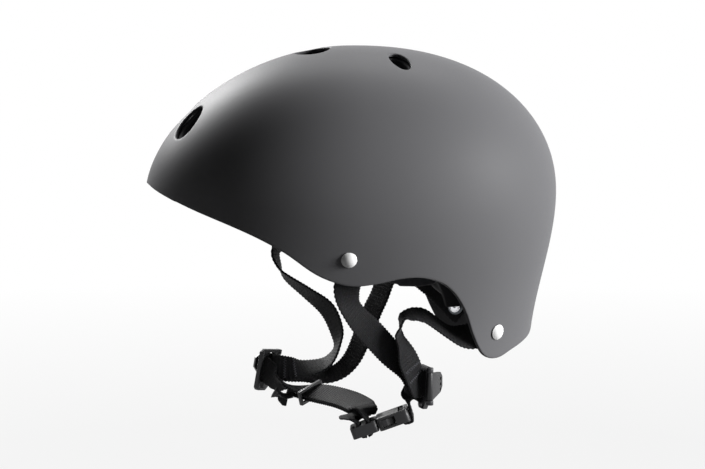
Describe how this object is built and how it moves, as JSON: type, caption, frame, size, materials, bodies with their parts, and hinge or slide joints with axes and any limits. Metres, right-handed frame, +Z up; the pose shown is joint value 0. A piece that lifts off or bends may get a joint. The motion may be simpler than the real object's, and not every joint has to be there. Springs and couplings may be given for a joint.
{
  "type": "skate helmet",
  "caption": "Hard-shell skate helmet with a deep rear, oval vents, a foam liner, comfort pads, a nape fit dial and a webbing chin harness with strap dividers and a side-release buckle.",
  "frame": {"origin": "middle of the head space, on the helmet's centre plane", "axes": "front -X, rear +X, the wearer's left -Y, the wearer's right +Y, +Z up; the helmet is level as it is worn"},
  "size_m": [0.2659, 0.2096, 0.2485],
  "materials": {
    "shell": "satin",
    "foam": "matte beaded foam",
    "pad": "brushed knit over foam",
    "webbing": "ribbed weave",
    "black_plastic": "satin moulded",
    "grey_plastic": "satin moulded",
    "chrome": "polished",
    "steel": "satin"
  },
  "bodies": {
    "helmet": {"outer_shell": "shell", "foam_liner": "foam", "front_pad": "pad", "crown_pad": "pad", "left_side_pad": "pad", "right_side_pad": "pad", "rear_pad": "pad", "front_rivets": "chrome", "rear_rivets": "chrome", "rivet_washers": "steel", "left_front_strap": "webbing", "left_rear_strap": "webbing", "right_front_strap": "webbing", "right_rear_strap": "webbing", "left_chin_web": "webbing", "chin_strap": "webbing", "strap_tail": "webbing", "keeper_ring": "black_plastic", "left_divider_frame": "grey_plastic", "right_divider_frame": "grey_plastic", "buckle_housing": "black_plastic", "nape_bracket": "black_plastic", "bracket_pins": "black_plastic", "dial_housing": "black_plastic", "dial_cover": "black_plastic", "cover_screws": "steel", "dial_spring": "steel", "left_fit_band": "black_plastic", "right_fit_band": "black_plastic", "band_anchors": "black_plastic"},
    "left_lock": {"left_divider_lock": "black_plastic"},
    "right_lock": {"right_divider_lock": "black_plastic"},
    "dial": {"dial_knob": "black_plastic", "dial_pinion": "grey_plastic"},
    "left_rack": {"left_band_rack": "grey_plastic"},
    "right_rack": {"right_band_rack": "grey_plastic"},
    "insert": {"buckle_insert": "black_plastic"},
    "left_arm": {"left_latch_arm": "black_plastic"},
    "right_arm": {"right_latch_arm": "black_plastic"}
  },
  "joints": [
    {"name": "left_lock_turn", "type": "hinge", "parent": "helmet", "child": "left_lock", "pos_m": [0.04, -0.066, -0.0915], "axis": [0, 0, 1], "range_deg": [-70, 15]},
    {"name": "right_lock_turn", "type": "hinge", "parent": "helmet", "child": "right_lock", "pos_m": [-0.0397, 0.0754, -0.0977], "axis": [0.1736, 0, 0.9848], "range_deg": [-75, 0]},
    {"name": "dial_turn", "type": "hinge", "parent": "helmet", "child": "dial", "pos_m": [0.1045, 0, -0.051], "axis": [-1, 0, 0], "range_deg": [0, 108]},
    {"name": "left_rack_slide", "type": "slide", "parent": "helmet", "child": "left_rack", "axis": [0, 1, 0], "range_m": [0, 0.00943], "deforming": ["left_fit_band"]},
    {"name": "right_rack_slide", "type": "slide", "parent": "helmet", "child": "right_rack", "axis": [0, -1, 0], "range_m": [0, 0.00943], "deforming": ["right_fit_band"]},
    {"name": "buckle_pull", "type": "slide", "parent": "helmet", "child": "insert", "axis": [-0.9258, 0.161, -0.3421], "range_m": [0, 0.024], "deforming": ["chin_strap", "strap_tail", "left_latch_arm", "right_latch_arm"]},
    {"name": "left_arm_press", "type": "hinge", "parent": "insert", "child": "left_arm", "pos_m": [0.0084, -0.05594, -0.11711], "axis": [-0.3371, 0.0586, 0.9397], "range_deg": [0, 11], "stiffness_Nm_per_rad": 0.1},
    {"name": "right_arm_press", "type": "hinge", "parent": "insert", "child": "right_arm", "pos_m": [0.01106, -0.04067, -0.11711], "axis": [0.3371, -0.0586, -0.9397], "range_deg": [0, 11], "stiffness_Nm_per_rad": 0.1}
  ],
  "couplings": [
    {"joint": "left_rack_slide", "follows": "dial_turn", "m_per_rad": 0.005},
    {"joint": "right_rack_slide", "follows": "dial_turn", "m_per_rad": 0.005}
  ]
}
